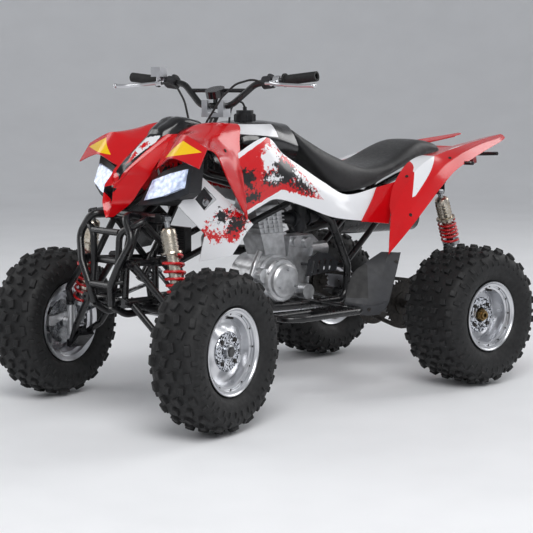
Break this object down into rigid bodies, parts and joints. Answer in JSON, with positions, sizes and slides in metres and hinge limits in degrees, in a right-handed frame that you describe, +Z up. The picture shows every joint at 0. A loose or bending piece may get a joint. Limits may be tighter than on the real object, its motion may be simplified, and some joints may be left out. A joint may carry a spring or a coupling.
{
  "type": "quad bike",
  "caption": "Sport quad bike with a welded tube frame, double-wishbone front suspension, live rear axle, knobbly tyres, handlebar steering and angular bodywork.",
  "frame": {"origin": "on the ground, in the middle of the overall width and length", "axes": "+X to the rider's left, +Y to the rear, +Z up; the quad faces -Y"},
  "size_m": [1.1218, 2.0272, 1.1462],
  "materials": {
    "red_plastic": "gloss",
    "white_plastic": "gloss",
    "black_plastic": "satin",
    "grey_plastic": "matt",
    "frame_paint": "satin",
    "cast_alloy": "satin",
    "machined_alloy": "bright",
    "steel": "satin",
    "spring_paint": "gloss",
    "tyre_rubber": "matt",
    "grip_rubber": "matt",
    "seat_vinyl": "satin",
    "lens": "clear",
    "lamp_red": "gloss",
    "silencer_alloy": "satin"
  },
  "bodies": {
    "body": {"chain": "steel", "drive_sprocket": "steel", "engine_cases": "cast_alloy", "engine_cylinder": "cast_alloy", "exhaust": "silencer_alloy", "foot_bars": "frame_paint", "frame": "frame_paint", "front_bumper": "frame_paint", "front_fenders": "red_plastic", "front_shrouds": "white_plastic", "fuel_cap": "black_plastic", "fuel_tank": "black_plastic", "headlight_lenses": "lens", "headlights": "black_plastic", "heel_guards": "grey_plastic", "instrument_pod": "black_plastic", "intake": "black_plastic", "lower_arms": "frame_paint", "nose_cowl": "red_plastic", "oil_cooler": "frame_paint", "panel_stays": "frame_paint", "rear_fenders": "red_plastic", "rear_subframe": "frame_paint", "seat": "seat_vinyl", "shock_absorbers": "machined_alloy", "shock_springs": "spring_paint", "side_panels": "white_plastic", "skid_plate": "cast_alloy", "sprocket_cover": "black_plastic", "swingarm": "cast_alloy", "tail_lamp": "lamp_red", "upper_arms": "frame_paint"},
    "steering": {"bar_clamps": "machined_alloy", "control_cables": "grip_rubber", "gauge": "black_plastic", "grips": "grip_rubber", "handlebar": "frame_paint", "levers": "machined_alloy", "steering_column": "steel", "switch_housings": "grey_plastic"},
    "knuckle_left": {"knuckle_left": "cast_alloy"},
    "knuckle_right": {"knuckle_right": "cast_alloy"},
    "tie_rod_left": {"tie_rod_left": "steel"},
    "tie_rod_right": {"tie_rod_right": "steel"},
    "front_wheel_left": {"front_hub_left": "steel", "front_rim_left": "machined_alloy", "front_tyre_left": "tyre_rubber"},
    "front_wheel_right": {"front_hub_right": "steel", "front_rim_right": "machined_alloy", "front_tyre_right": "tyre_rubber"},
    "rear_axle_assembly": {"rear_axle": "steel", "rear_rim_left": "machined_alloy", "rear_rim_right": "machined_alloy", "rear_tyre_left": "tyre_rubber", "rear_tyre_right": "tyre_rubber"}
  },
  "joints": [
    {"name": "steering", "type": "hinge", "parent": "body", "child": "steering", "pos_m": [0, -0.6724, 0.47], "axis": [0, 0.512, 0.859], "range_deg": [-50, 20]},
    {"name": "kingpin_left", "type": "hinge", "parent": "body", "child": "knuckle_left", "pos_m": [0.355, -0.7354, 0.26], "axis": [0, 0, 1], "range_deg": [-50, 20]},
    {"name": "kingpin_right", "type": "hinge", "parent": "body", "child": "knuckle_right", "pos_m": [-0.355, -0.7354, 0.26], "axis": [0, 0, 1], "range_deg": [-50, 20]},
    {"name": "tie_rod_left_pivot", "type": "hinge", "parent": "steering", "child": "tie_rod_left", "pos_m": [-0.01553, -0.61135, 0.45922], "axis": [0, 0.512, 0.859], "range_deg": [-20, 50]},
    {"name": "tie_rod_right_pivot", "type": "hinge", "parent": "steering", "child": "tie_rod_right", "pos_m": [-0.01553, -0.6303, 0.42744], "axis": [0, 0.512, 0.859], "range_deg": [-20, 50]},
    {"name": "front_wheel_left_spin", "type": "hinge", "parent": "knuckle_left", "child": "front_wheel_left", "pos_m": [0.42262, -0.71728, 0.26], "axis": [0.9659, 0.2588, 0], "continuous": true},
    {"name": "front_wheel_right_spin", "type": "hinge", "parent": "knuckle_right", "child": "front_wheel_right", "pos_m": [-0.42262, -0.75352, 0.26], "axis": [0.9659, 0.2588, 0], "continuous": true},
    {"name": "rear_axle_spin", "type": "hinge", "parent": "body", "child": "rear_axle_assembly", "pos_m": [0, 0.4946, 0.254], "axis": [1, 0, 0], "continuous": true}
  ],
  "couplings": [
    {"joint": "kingpin_left", "follows": "steering", "ratio": 1},
    {"joint": "kingpin_right", "follows": "steering", "ratio": 1},
    {"joint": "tie_rod_left_pivot", "follows": "steering", "ratio": -1},
    {"joint": "tie_rod_right_pivot", "follows": "steering", "ratio": -1}
  ]
}
